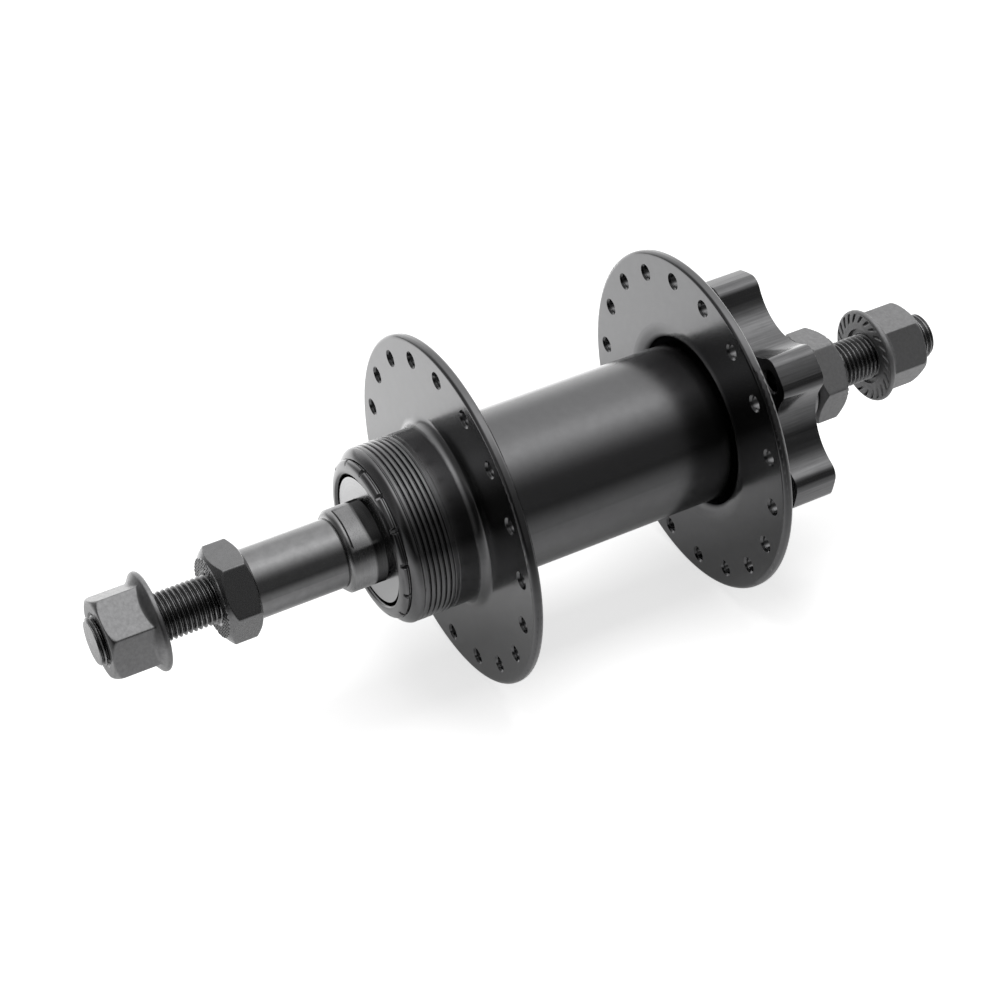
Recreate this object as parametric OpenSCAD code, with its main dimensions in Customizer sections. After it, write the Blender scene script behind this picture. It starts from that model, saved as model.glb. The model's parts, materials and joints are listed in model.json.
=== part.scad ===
// Rear bicycle hub for a screw-on freewheel and a six-bolt disc brake.
// The axle lies along Y: the freewheel (drive) side is -Y and the disc side is +Y.
// The origin is on the axle's centre line, halfway between the two locknut faces.
// Each half is drawn with z pointing outwards from the hub's centre, then turned onto its side.

/* [Axle] */
// Width between the outer faces of the two locknuts
over_locknut = 135; // [130:0.5:142]
// Length of the solid axle
axle_len = 181.6; // [176:0.1:186]
// Outside diameter of the axle's thread
axle_d = 9.4; // [9:0.1:10]
// Diameter of the plain middle of the axle
axle_core_d = 8.6; // [7.8:0.1:8.8]
// Length of thread at each end of the axle
axle_thread_len = 68; // [60:1:74]
// Bevel on the axle's ends
axle_bevel = 1; // [0.4:0.05:1.2]
// Radial clearance of every nut, cone and spacer on the axle
axle_clear = 0.05; // [0.02:0.01:0.1]

/* [Axle nuts] */
// Size across flats of the axle nuts
nut_af = 14.8; // [14:0.1:16]
// Height of an axle nut over its flange
nut_h = 10.4; // [9:0.1:12]
// Diameter of the nut's serrated flange
nut_flange_d = 19.2; // [18:0.1:21]
// Thickness of the flange at its rim
nut_rim_t = 1.8; // [1:0.1:2.2]
// Height of the cone that joins the flange to the hexagon
nut_skirt_h = 0.8; // [0.4:0.1:2.6]
// Height of the rounded bevel at the nut's outer end
nut_crown_h = 1.3; // [0.6:0.1:1.6]
// Diameter of the nut's flat outer end
nut_top_d = 13.6; // [12.6:0.1:14]
// Diameter of the recess round the bore in the serrated face
nut_recess_d = 11.6; // [10.6:0.1:13]
// Depth of that recess
nut_recess_depth = 0.6; // [0.3:0.05:1]
// Axle that shows beyond the drive side nut
drive_axle_end = 1.4; // [0.5:0.1:4]
// Axle that shows beyond the disc side nut
disc_axle_end = 4; // [0.5:0.1:5]
// Turn of the drive side nut's hexagon
drive_nut_turn = 27.8; // [-30:0.1:30]
// Turn of the disc side nut's hexagon
disc_nut_turn = -4.3; // [-30:0.1:30]

/* [Locknuts and spacer] */
// Size across flats of the locknuts
locknut_af = 16.7; // [16:0.1:17.5]
// Height of a locknut
locknut_h = 6.9; // [6:0.1:8]
// Diameter of a locknut's end faces
locknut_face_d = 15.5; // [15:0.1:16.2]
// Height of the knurled boss on the locknut's outer face
locknut_boss_h = 0.2; // [0.1:0.1:0.8]
// Height of boss and bevel on the locknut's outer end, at the corners
locknut_bevel_out = 1.6; // [1:0.1:2]
// Height of the bevel on the locknut's inner end, at the corners
locknut_bevel_in = 1.1; // [0.8:0.1:1.6]
// Length of the drive side spacer
spacer_len = 18; // [14:0.5:20]
// Outside diameter of the spacer
spacer_d = 13.6; // [12.6:0.1:14.2]
// Turn of the drive side locknut's hexagon
drive_locknut_turn = 1.2; // [-30:0.1:30]
// Turn of the disc side locknut's hexagon
disc_locknut_turn = 5.7; // [-30:0.1:30]

/* [Bearings] */
// Diameter of a bearing ball
ball_d = 6.35; // [5.9:0.05:6.4]
// Number of balls in each bearing
ball_count = 9; // [7:1:9]
// Gap between two neighbouring balls
ball_gap = 0.35; // [0.1:0.05:0.6]
// Clearance between a ball and its tracks
ball_clear = 0.05; // [0.02:0.01:0.1]
// Wall of a pressed-in bearing cup outside the balls
cup_wall = 1.28; // [1:0.01:1.6]
// Thickness of a cup's floor behind the balls
cup_floor_t = 1.6; // [1.2:0.1:2]
// Radial gap between a cone's nose and the hole in its cup's floor
nose_gap = 1.6; // [1:0.1:2]
// Radial thickness of a cone's shoulder over the root of its race
shoulder_step = 2.4; // [1.8:0.1:2.6]
// Length of a cone outside the ball circle
cone_reach = 15.2; // [14.2:0.1:16]
// Length of a cone's nose behind the ball circle
cone_nose = 3.6; // [2.6:0.1:4.2]
// Diameter of a cone's visible body
cone_d = 16.3; // [15.8:0.1:16.8]
// Size across a cone's spanner flats
cone_flat_af = 13.1; // [12.5:0.1:14]
// Width of the spanner flats along the axle
cone_flat_w = 3.7; // [3:0.1:4.4]
// Height of the cone's outer collar, next to the flats
cone_collar_h = 1.4; // [1:0.1:1.8]
// Turn of the drive side cone's flats
drive_cone_turn = 68.7; // [0:0.1:180]
// Turn of the disc side cone's flats
disc_cone_turn = 20; // [0:1:180]
// Gap round the polished shield in the dust cap's mouth
shield_gap = 0.6; // [0.3:0.05:1]
// Thickness of a shield
shield_t = 0.8; // [0.6:0.1:1.2]
// Distance of a shield's outer face from the ball circle
shield_z = 8.1; // [7.9:0.05:8.3]
// Play of the ball retainer round the cone's shoulder
cage_clear = 0.3; // [0.2:0.05:0.4]
// Gap between the retainer's rim and the cup's wall
cage_rim_gap = 0.5; // [0.3:0.05:0.7]

/* [Dust caps] */
// Step from the cup's outside to the dust cap's outside
cap_step = 1.4; // [1.2:0.05:1.6]
// Width of the dust cap's rolled lip
cap_lip_w = 2.65; // [2.3:0.05:2.9]
// Height of the lip in front of the hub's face
cap_lip_h = 1.5; // [1.3:0.1:2.4]
// Radius of the lip's outer edge
cap_round_r = 1.1; // [0.6:0.1:1.3]
// Radius of the lip's inner edge
cap_mouth_r = 0.6; // [0.3:0.1:0.8]
// Wall of the skirt that presses into the hub
cap_skirt_t = 1; // [0.8:0.1:1.2]
// Number of small notches round the lip
cap_notches = 14; // [8:1:18]
// Width of a notch
cap_notch_w = 0.6; // [0.4:0.1:1.2]
// Length of a notch along the axle
cap_notch_len = 1; // [0.6:0.1:1.2]
// Depth of a notch
cap_notch_depth = 0.3; // [0.2:0.05:0.6]
// Turn of the first notch
cap_turn = 11; // [0:1:25]

/* [Shell] */
// Length of the freewheel boss, from the drive flange to its end
boss_len = 15.1; // [13.5:0.1:16]
// Distance from the disc flange's outer face to the rotor's face
neck_and_mount_len = 16.05; // [15:0.05:17]
// Diameter of both spoke flanges
flange_d = 70; // [67:0.5:74]
// Thickness of a spoke flange
flange_t = 2; // [1.8:0.1:3]
// Radius of the flange's rim edges
flange_edge_r = 0.8; // [0.3:0.1:0.8]
// Distance from a flange's rim to the circle of spoke holes
spoke_edge = 4.3; // [3.5:0.1:5.5]
// Spoke holes in each flange
spoke_count = 18; // [12:2:20]
// Diameter of a spoke hole
spoke_hole_d = 2.7; // [2.4:0.1:3]
// Depth of the countersink round each spoke hole
spoke_sink = 0.4; // [0.2:0.05:0.6]
// Turn of the drive flange's holes
drive_spoke_turn = 5; // [0:1:19]
// Turn of the disc flange's holes, half a pitch from the drive flange's
disc_spoke_turn = 15; // [0:1:19]
// Wall of the freewheel boss outside the dust cap, 1.7 for a thread of 34.8
boss_wall = 1.7; // [1.5:0.05:2]
// Length of the freewheel thread, from the boss's end
freewheel_thread_len = 8.6; // [7:0.1:9]
// Bevel at the start of the freewheel thread
freewheel_bevel = 0.8; // [0.4:0.1:1]
// Depth of the shallow groove behind the freewheel thread
runout_depth = 0.2; // [0.1:0.05:0.4]
// Width of that groove
runout_w = 0.7; // [0.4:0.1:1.2]
// Radius of the cove between the boss and the drive flange
cove_r = 2; // [1:0.1:2.2]
// Distance of the freewheel boss's end from the drive side ball circle
drive_face_reach = 7.1; // [6.9:0.05:7.2]
// Distance of the disc mount's face from the disc side ball circle
disc_face_reach = 6.8; // [6.6:0.05:7.2]
// Thickness of the web between a cup and the barrel
web_t = 1.5; // [1.2:0.1:1.8]
// Radial and end clearance of what is pressed into the shell
press_clear = 0.02; // [0.01:0.01:0.05]
// Step from the boss's outside down to the barrel's
barrel_step = 1.3; // [1.2:0.05:1.8]
// Wall of the barrel tube
barrel_wall = 2.2; // [1.8:0.1:2.6]
// Width of the groove in the flange round the barrel
groove_w = 1.2; // [0.8:0.1:1.8]
// Depth of that groove behind the rounded lip
groove_depth = 0.4; // [0.3:0.1:0.6]
// Width of the rounded lip between the flange's face and the groove
lip_w = 3.3; // [2:0.1:4]
// Fall of the rounded lip
lip_fall = 0.8; // [0.3:0.1:0.9]

/* [Disc mount] */
// Thickness of the six-lobed disc mount
mount_t = 8.9; // [8.5:0.1:9.6]
// Distance from the rotor bolts' circle to the lobes' outer edge
lobe_edge = 4; // [3.4:0.1:4.6]
// Diameter of the circle of rotor bolts
rotor_pcd = 44; // [43.6:0.1:44.4]
// Number of lobes and rotor bolts
lobe_count = 6; // [6:1:6]
// Diameter of the holes tapped for the rotor bolts
rotor_hole_d = 4.2; // [4.1:0.05:5]
// Radius of the scallops between the lobes
scallop_r = 10.8; // [10:0.1:11.6]
// Wall of the mount at the bottom of a scallop, outside the dust cap
scallop_wall = 3.4; // [2.6:0.1:3.8]
// Radius of the lobes' corners
lobe_corner_r = 2.7; // [1:0.1:3]
// Bevel round each rotor bolt hole
rotor_bevel = 0.4; // [0.2:0.05:0.5]
// Turn of the first lobe
lobe_turn = 41.4; // [0:0.1:59.9]
// Step from the bottom of a scallop down to the neck
neck_step = 1.6; // [0.6:0.1:2]
// Radius of the coves at the ends of the neck
neck_cove_r = 2; // [0.8:0.1:2.2]

/* [Hidden] */

round_fn = 72;
hole_fn = 24;
ball_fn = 48;
cut = 0.5;

black = [0.07, 0.07, 0.075];
steel_black = [0.16, 0.16, 0.165];
steel_grey = [0.34, 0.34, 0.35];
polished = [0.8, 0.8, 0.82];
bearing_steel = [0.62, 0.63, 0.65];

axle_bore_r = axle_d / 2 + axle_clear;
axle_beyond_locknut = (axle_len - over_locknut) / 2;
drive_dropout_gap = axle_beyond_locknut - nut_h - drive_axle_end;
disc_dropout_gap = axle_beyond_locknut - nut_h - disc_axle_end;

ball_pitch_r = (ball_d + ball_gap) / 2 / sin(180 / ball_count);
race_r = ball_pitch_r + ball_d / 2 + ball_clear;
nose_r = ball_pitch_r - ball_d / 2 - ball_clear;
cone_shoulder_r = nose_r + shoulder_step;
cup_d = 2 * (race_r + cup_wall);
cup_back = ball_d / 2 + ball_clear + cup_floor_t;
cup_front = ball_d / 2;
cup_hole_r = nose_r + nose_gap;
cage_back = 0.27 * ball_d;
cage_front = 0.65 * ball_d;

cap_d = cup_d + 2 * cap_step;
cap_seat_d = cap_d + 2 * press_clear;
cap_mouth_d = cap_d - 2 * cap_lip_w;
shield_d = cap_mouth_d - 2 * shield_gap;
freewheel_d = cap_d + 2 * boss_wall;
barrel_d = freewheel_d - 2 * barrel_step;
groove_d = barrel_d + 2 * groove_w;
lip_d = groove_d + 2 * lip_w;
spoke_pcd = flange_d - 2 * spoke_edge;
mount_d = rotor_pcd + 2 * lobe_edge;
scallop_floor_r = cap_d / 2 + scallop_wall;
neck_d = 2 * (scallop_floor_r - neck_step);

locknut_z = over_locknut / 2;
drive_cone_end_z = locknut_z - locknut_h - spacer_len;
disc_cone_end_z = locknut_z - locknut_h;
drive_ball_z = drive_cone_end_z - cone_reach;
disc_ball_z = disc_cone_end_z - cone_reach;
drive_face_z = drive_ball_z + drive_face_reach;
disc_face_z = disc_ball_z + disc_face_reach;
drive_seat_z = drive_ball_z - cup_back - web_t;
disc_seat_z = disc_ball_z - cup_back - web_t;
drive_flange_z = drive_face_z - boss_len - flange_t / 2;
disc_flange_z = disc_face_z - neck_and_mount_len - flange_t / 2;
mount_back_z = disc_face_z - mount_t;
scallop_mid_r = scallop_floor_r + scallop_r;
web_hole_r = (cup_hole_r + race_r) / 2;

// Places what is drawn outwards along +z on the drive side, -Y
module on_drive_side() rotate([90, 0, 0]) children();

// Places what is drawn outwards along +z on the disc side, +Y, with angles that match the drive side's
module on_disc_side() rotate([-90, 0, 0]) mirror([0, 1, 0]) children();

module turned() rotate_extrude($fn = round_fn) children();

// Rectangle of a turned profile: from radius r0 to r1 and from z0 to z1
module band(r0, r1, z0, z1) translate([r0, z0]) square([r1 - r0, z1 - z0]);

// Turned profile with both outer corners rounded
module rounded_band(r0, r1, z0, z1, edge_r) {
    band(r0, r1 - edge_r, z0, z1);
    band(r0, r1, z0 + edge_r, z1 - edge_r);
    translate([r1 - edge_r, z0 + edge_r]) circle(r = edge_r, $fn = hole_fn);
    translate([r1 - edge_r, z1 - edge_r]) circle(r = edge_r, $fn = hole_fn);
}

// Concave fillet in the corner of a shaft of radius r and a face at z; side is 1 above the face, -1 below
module cove(r, z, fillet_r, side) difference() {
    translate([r, side > 0 ? z : z - fillet_r]) square(fillet_r);
    translate([r + fillet_r, z + side * fillet_r]) circle(r = fillet_r, $fn = hole_fn);
}

// Radius over a hexagon's corners
function corner_r(af) = af / 2 / cos(30);

module hexagon(af) circle(r = corner_r(af), $fn = 6);

// Radius of the arc that falls by h over a width w and starts level
function arc_r(w, h) = (w * w + h * h) / 2 / h;

// Turned profile with a flat top up to radius r0, then an arc that falls by h at radius r1
module crowned_band(r0, r1, z1, h) {
    band(0, r0, 0, z1);
    band(0, r1, 0, z1 - h);
    intersection() {
        band(r0, r1, z1 - h, z1);
        translate([r0, z1 - arc_r(r1 - r0, h)]) circle(r = arc_r(r1 - r0, h), $fn = round_fn);
    }
}

module ring_of(count, turn) for (i = [0 : count - 1]) rotate(turn + i * 360 / count) children();

module balls(ball_z) translate([0, 0, ball_z])
    ring_of(ball_count, 0) translate([ball_pitch_r, 0, 0]) sphere(d = ball_d, $fn = ball_fn);

// The track that the balls run in, as a ring of round section with the given play
module ball_track(play) translate([ball_pitch_r, 0]) circle(r = ball_d / 2 + play, $fn = round_fn);

// Retainer: a ring in front of the balls with a spherical pocket for each
module ball_cage(ball_z) translate([0, 0, ball_z]) difference() {
    turned() band(cone_shoulder_r + cage_clear, race_r - cage_rim_gap, cage_back, cage_front);
    ring_of(ball_count, 0) translate([ball_pitch_r, 0, 0])
        sphere(d = ball_d + 2 * ball_clear, $fn = ball_fn);
}

// Pressed-in cup: its floor and wall hold the balls from behind and outside
module cup(ball_z) translate([0, 0, ball_z]) turned() difference() {
    band(cup_hole_r, cup_d / 2, -cup_back, cup_front);
    band(0, race_r, 0, cup_front + cut);
    ball_track(ball_clear);
}

// Adjusting cone: race and nose inside, then shield seat, body, spanner flats and collar
module cone(ball_z, flat_turn) translate([0, 0, ball_z]) difference() {
    turned() difference() {
        union() {
            band(axle_bore_r, nose_r, -cone_nose, 1);
            band(axle_bore_r, cone_shoulder_r, 0, shield_z - shield_t);
            band(axle_bore_r, cone_d / 2, 1, cone_reach - cone_collar_h / 2);
            polygon([
                [axle_bore_r, cone_reach - cone_collar_h],
                [cone_d / 2, cone_reach - cone_collar_h],
                [cone_d / 2, cone_reach - cone_collar_h / 2],
                [cone_d / 2 - cone_collar_h / 2, cone_reach],
                [axle_bore_r, cone_reach]
            ]);
        }
        ball_track(ball_clear);
    }
    rotate(flat_turn) for (side = [0, 180]) rotate(side)
        translate([cone_flat_af / 2, -cone_d, cone_reach - cone_collar_h - cone_flat_w])
            cube([cone_d, 2 * cone_d, cone_flat_w]);
}

module shield(ball_z) translate([0, 0, ball_z + shield_z - shield_t]) turned()
    band(cone_d / 2 + press_clear, shield_d / 2, 0, shield_t);

// Dust cap: rolled lip in front of the hub's face and a skirt pressed into the counterbore
module dust_cap(ball_z, face_z, notch_turn) translate([0, 0, face_z]) difference() {
    turned() {
        band(cap_d / 2 - cap_skirt_t, cap_d / 2, ball_z + cup_front - face_z, cap_lip_h - cap_round_r);
        band(cap_mouth_d / 2, cap_d / 2 - cap_round_r, 0, cap_lip_h - cap_mouth_r);
        band(cap_mouth_d / 2 + cap_mouth_r, cap_d / 2 - cap_round_r, 0, cap_lip_h);
        translate([cap_d / 2 - cap_round_r, cap_lip_h - cap_round_r]) circle(r = cap_round_r, $fn = hole_fn);
        translate([cap_mouth_d / 2 + cap_mouth_r, cap_lip_h - cap_mouth_r])
            circle(r = cap_mouth_r, $fn = hole_fn);
    }
    ring_of(cap_notches, notch_turn)
        translate([cap_d / 2 - cap_notch_depth, -cap_notch_w / 2, 0])
            cube([cap_notch_depth + cut, cap_notch_w, cap_notch_len]);
}

// Locknut: thick hexagon, bevelled at both ends, with a round boss on its outer face
module locknut(face_z, turn) translate([0, 0, face_z - locknut_h]) rotate(turn) difference() {
    intersection() {
        linear_extrude(locknut_h) hexagon(locknut_af);
        turned() polygon([
            [0, 0],
            [locknut_face_d / 2, 0],
            [corner_r(locknut_af), locknut_bevel_in],
            [corner_r(locknut_af), locknut_h - locknut_bevel_out],
            [locknut_face_d / 2, locknut_h - locknut_boss_h],
            [locknut_face_d / 2, locknut_h],
            [0, locknut_h]
        ]);
    }
    translate([0, 0, -cut]) cylinder(r = axle_bore_r, h = locknut_h + 2 * cut, $fn = round_fn);
}

// Flanged axle nut, its serrated face at z = face_z
module axle_nut(face_z, turn) translate([0, 0, face_z]) rotate(turn) difference() {
    union() {
        intersection() {
            linear_extrude(nut_h) hexagon(nut_af);
            turned() crowned_band(nut_top_d / 2, corner_r(nut_af), nut_h, nut_crown_h);
        }
        turned() {
            rounded_band(0, nut_flange_d / 2, 0, nut_rim_t, nut_rim_t / 2 - 0.1);
            polygon([
                [0, nut_rim_t / 2],
                [nut_flange_d / 2 - nut_rim_t / 2, nut_rim_t],
                [nut_af / 2, nut_rim_t + nut_skirt_h],
                [0, nut_rim_t + nut_skirt_h]
            ]);
        }
    }
    translate([0, 0, -cut]) cylinder(r = axle_bore_r, h = nut_h + 2 * cut, $fn = round_fn);
    translate([0, 0, -cut]) cylinder(d = nut_recess_d, h = nut_recess_depth + cut, $fn = round_fn);
}

// Spoke holes of one flange, countersunk on both faces
module spoke_holes(mid_z, turn) ring_of(spoke_count, turn) translate([spoke_pcd / 2, 0, mid_z]) {
    cylinder(d = spoke_hole_d, h = flange_t + 2 * cut, center = true, $fn = hole_fn);
    for (side = [0, 180]) rotate([side, 0, 0]) translate([0, 0, flange_t / 2 - spoke_sink])
        cylinder(d1 = spoke_hole_d, d2 = spoke_hole_d + 4 * spoke_sink, h = 2 * spoke_sink, $fn = hole_fn);
}

// Everything bored out of a hub end: barrel socket, web, cup seat and dust cap seat
module hub_end_bores(ball_z, seat_z, face_z) {
    band(0, barrel_d / 2 + press_clear, 0, seat_z);
    band(0, web_hole_r, 0, face_z);
    band(0, cup_d / 2 + press_clear, ball_z - cup_back, face_z);
    band(0, cap_seat_d / 2, ball_z + cup_front, face_z + cut);
}

// Recess in a flange's inner face, where the barrel goes in: a rounded lip that falls to a groove
module barrel_recess(inner_z) {
    lip_r = arc_r(lip_w, lip_fall);
    difference() {
        band(groove_d / 2, lip_d / 2, inner_z - cut, inner_z + lip_fall);
        translate([lip_d / 2, inner_z + lip_r]) circle(r = lip_r, $fn = round_fn);
    }
    band(0, groove_d / 2, inner_z - cut, inner_z + lip_fall + groove_depth);
}

// Drive end of the shell: spoke flange and freewheel boss
module drive_hub_end() difference() {
    turned() difference() {
        union() {
            rounded_band(0, flange_d / 2, drive_flange_z - flange_t / 2,
                         drive_flange_z + flange_t / 2, flange_edge_r);
            cove(freewheel_d / 2, drive_flange_z + flange_t / 2, cove_r, 1);
            polygon([
                [0, drive_flange_z],
                [freewheel_d / 2, drive_flange_z],
                [freewheel_d / 2, drive_face_z - freewheel_bevel],
                [freewheel_d / 2 - freewheel_bevel, drive_face_z],
                [0, drive_face_z]
            ]);
        }
        hub_end_bores(drive_ball_z, drive_seat_z, drive_face_z);
        barrel_recess(drive_flange_z - flange_t / 2);
        band(freewheel_d / 2 - runout_depth, freewheel_d,
             drive_face_z - freewheel_thread_len - runout_w, drive_face_z - freewheel_thread_len);
    }
    spoke_holes(drive_flange_z, drive_spoke_turn);
}

// Point at a radius and an angle
function polar(r, a) = [r * cos(a), r * sin(a)];

// Where a lobe's corner arc is centred: its radius from the axle and its angle from the scallop's middle
lobe_arc_r = mount_d / 2 - lobe_corner_r;
lobe_arc_a = acos((pow(lobe_arc_r, 2) + pow(scallop_mid_r, 2) - pow(scallop_r + lobe_corner_r, 2))
                  / 2 / lobe_arc_r / scallop_mid_r);

// Outline of the disc mount: a disc with round scallops, its lobe corners rounded
module mount_outline() difference() {
    circle(d = mount_d, $fn = round_fn);
    ring_of(lobe_count, 180 / lobe_count) {
        translate([scallop_mid_r, 0]) circle(r = scallop_r, $fn = round_fn);
        for (side = [-1, 1]) difference() {
            polygon([
                polar(lobe_arc_r, side * lobe_arc_a),
                polar(mount_d / 2 + cut, side * lobe_arc_a),
                [scallop_mid_r, 0]
            ]);
            translate(polar(lobe_arc_r, side * lobe_arc_a)) circle(r = lobe_corner_r, $fn = hole_fn);
        }
    }
}

// Disc end of the shell: spoke flange, neck and six-lobed disc mount
module disc_hub_end() difference() {
    union() {
        turned() {
            rounded_band(0, flange_d / 2, disc_flange_z - flange_t / 2,
                         disc_flange_z + flange_t / 2, flange_edge_r);
            cove(neck_d / 2, disc_flange_z + flange_t / 2, neck_cove_r, 1);
            band(0, neck_d / 2, disc_flange_z, mount_back_z + 1);
        }
        translate([0, 0, mount_back_z]) rotate(lobe_turn)
            linear_extrude(mount_t) mount_outline();
    }
    turned() {
        hub_end_bores(disc_ball_z, disc_seat_z, disc_face_z);
        barrel_recess(disc_flange_z - flange_t / 2);
    }
    spoke_holes(disc_flange_z, disc_spoke_turn);
    ring_of(lobe_count, lobe_turn) translate([rotor_pcd / 2, 0, mount_back_z]) {
        translate([0, 0, -cut]) cylinder(d = rotor_hole_d, h = mount_t + 2 * cut, $fn = hole_fn);
        translate([0, 0, mount_t - rotor_bevel])
            cylinder(d1 = rotor_hole_d, d2 = rotor_hole_d + 4 * rotor_bevel, h = 2 * rotor_bevel, $fn = hole_fn);
        translate([0, 0, -rotor_bevel])
            cylinder(d1 = rotor_hole_d + 4 * rotor_bevel, d2 = rotor_hole_d, h = 2 * rotor_bevel, $fn = hole_fn);
    }
}

module axle() color(steel_black) on_drive_side() turned() polygon([
    [0, -axle_len / 2],
    [axle_d / 2 - axle_bevel, -axle_len / 2],
    [axle_d / 2, -axle_len / 2 + axle_bevel],
    [axle_d / 2, -axle_len / 2 + axle_thread_len],
    [axle_core_d / 2, -axle_len / 2 + axle_thread_len + (axle_d - axle_core_d) / 2],
    [axle_core_d / 2, axle_len / 2 - axle_thread_len - (axle_d - axle_core_d) / 2],
    [axle_d / 2, axle_len / 2 - axle_thread_len],
    [axle_d / 2, axle_len / 2 - axle_bevel],
    [axle_d / 2 - axle_bevel, axle_len / 2],
    [0, axle_len / 2]
]);

module drive_cone() color(steel_grey) on_drive_side() cone(drive_ball_z, drive_cone_turn);
module disc_cone() color(steel_grey) on_disc_side() cone(disc_ball_z, disc_cone_turn);
module drive_shield() color(polished) on_drive_side() shield(drive_ball_z);
module disc_shield() color(polished) on_disc_side() shield(disc_ball_z);

module drive_spacer() color(steel_grey) on_drive_side()
    turned() band(axle_bore_r, spacer_d / 2, drive_cone_end_z, drive_cone_end_z + spacer_len);

module drive_locknut() color(steel_black) on_drive_side() locknut(locknut_z, drive_locknut_turn);
module disc_locknut() color(steel_black) on_disc_side() locknut(locknut_z, disc_locknut_turn);

module drive_flange() color(black) on_drive_side() drive_hub_end();
module disc_flange() color(black) on_disc_side() disc_hub_end();

module barrel() color(black) on_drive_side() turned()
    band(barrel_d / 2 - barrel_wall, barrel_d / 2, press_clear - disc_seat_z, drive_seat_z - press_clear);

module drive_cup() color(bearing_steel) on_drive_side() cup(drive_ball_z);
module disc_cup() color(bearing_steel) on_disc_side() cup(disc_ball_z);
module drive_dust_cap() color(black) on_drive_side() dust_cap(drive_ball_z, drive_face_z, cap_turn);
module disc_dust_cap() color(black) on_disc_side() dust_cap(disc_ball_z, disc_face_z, cap_turn);
module drive_balls() color(polished) on_drive_side() balls(drive_ball_z);
module disc_balls() color(polished) on_disc_side() balls(disc_ball_z);
module drive_ball_cage() color(bearing_steel) on_drive_side() ball_cage(drive_ball_z);
module disc_ball_cage() color(bearing_steel) on_disc_side() ball_cage(disc_ball_z);
module drive_axle_nut() color(steel_black) on_drive_side() axle_nut(locknut_z + drive_dropout_gap, drive_nut_turn);
module disc_axle_nut() color(steel_black) on_disc_side() axle_nut(locknut_z + disc_dropout_gap, disc_nut_turn);

axle();
drive_cone();
disc_cone();
drive_shield();
disc_shield();
drive_spacer();
drive_locknut();
disc_locknut();
drive_flange();
barrel();
disc_flange();
drive_cup();
disc_cup();
drive_dust_cap();
disc_dust_cap();
drive_balls();
disc_balls();
drive_ball_cage();
disc_ball_cage();
drive_axle_nut();
disc_axle_nut();
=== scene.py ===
import json
import math

import bmesh
import bpy
import numpy as np
from mathutils import Matrix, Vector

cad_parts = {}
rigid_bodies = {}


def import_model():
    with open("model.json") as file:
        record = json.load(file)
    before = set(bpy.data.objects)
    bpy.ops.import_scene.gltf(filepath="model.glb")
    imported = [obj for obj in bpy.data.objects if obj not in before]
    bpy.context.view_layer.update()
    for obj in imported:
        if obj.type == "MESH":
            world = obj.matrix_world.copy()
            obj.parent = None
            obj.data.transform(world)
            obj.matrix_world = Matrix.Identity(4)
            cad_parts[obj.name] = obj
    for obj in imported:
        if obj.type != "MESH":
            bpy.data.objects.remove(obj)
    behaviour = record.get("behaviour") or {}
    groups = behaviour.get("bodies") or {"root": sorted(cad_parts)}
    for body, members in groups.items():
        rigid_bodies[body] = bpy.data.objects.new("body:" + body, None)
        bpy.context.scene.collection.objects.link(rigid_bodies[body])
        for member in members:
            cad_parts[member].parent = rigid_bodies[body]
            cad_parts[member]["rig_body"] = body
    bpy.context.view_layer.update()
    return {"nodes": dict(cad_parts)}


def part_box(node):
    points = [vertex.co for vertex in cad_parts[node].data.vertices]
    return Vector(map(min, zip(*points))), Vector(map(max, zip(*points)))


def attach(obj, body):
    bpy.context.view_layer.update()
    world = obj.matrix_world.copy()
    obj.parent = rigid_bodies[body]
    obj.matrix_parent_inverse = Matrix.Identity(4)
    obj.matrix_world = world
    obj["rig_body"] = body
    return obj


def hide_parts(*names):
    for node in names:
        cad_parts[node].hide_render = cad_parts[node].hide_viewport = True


# Rear disc hub: finishes for the solids, and finer pieces that stand for eight of them. The frame is the
# solids' own: +Y runs along the axle to the disc side and +Z is up, in metres.

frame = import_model()
nodes = frame["nodes"]
mm = 0.001
weldReach = 1e-7    # vertices of a CAD mesh nearer than this, in metres, become one
print("frame loaded:", len(nodes), "nodes")


# Surfaces and profiles

# A point on a circle round the axle: x = r cos t, z = r sin t, at y along the axle
def aroundAxle(radius, along, turn):
    radius, along, turn = np.broadcast_arrays(radius, along, turn)
    return np.stack([radius * np.cos(turn), along, radius * np.sin(turn)], axis=-1)


# A row of turns once round in the given number of steps: t = step / steps * full turn
def fullTurn(steps):
    return (np.arange(steps) / steps * 2 * np.pi)[None, :]


# A grid of points becomes quads; columns close on themselves, rows close too when looped,
# and otherwise each end is closed by a fan of triangles to the middle of its last row
def meshFromGrid(name, points, looped=False):
    rows, columns = points.shape[:2]
    vertices = points.reshape(-1, 3)
    row, column = np.meshgrid(np.arange(rows if looped else rows - 1), np.arange(columns), indexing="ij")
    nextRow, nextColumn = (row + 1) % rows, (column + 1) % columns
    quads = np.stack([row * columns + column, row * columns + nextColumn,
                      nextRow * columns + nextColumn, nextRow * columns + column], axis=-1).reshape(-1, 4)
    faces = quads.tolist()
    if not looped:
        around = np.arange(columns)
        for firstRow, pole in ((0, len(vertices)), (rows - 1, len(vertices) + 1)):
            ring = firstRow * columns + around
            ringNext = firstRow * columns + (around + 1) % columns
            fan = [ringNext, ring] if firstRow == 0 else [ring, ringNext]
            faces += np.stack(fan + [np.full(columns, pole)], axis=-1).tolist()
        vertices = np.concatenate([vertices, points[0].mean(0)[None], points[-1].mean(0)[None]])
    mesh = bpy.data.meshes.new(name)
    mesh.from_pydata(vertices.tolist(), [], faces)
    return mesh


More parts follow.
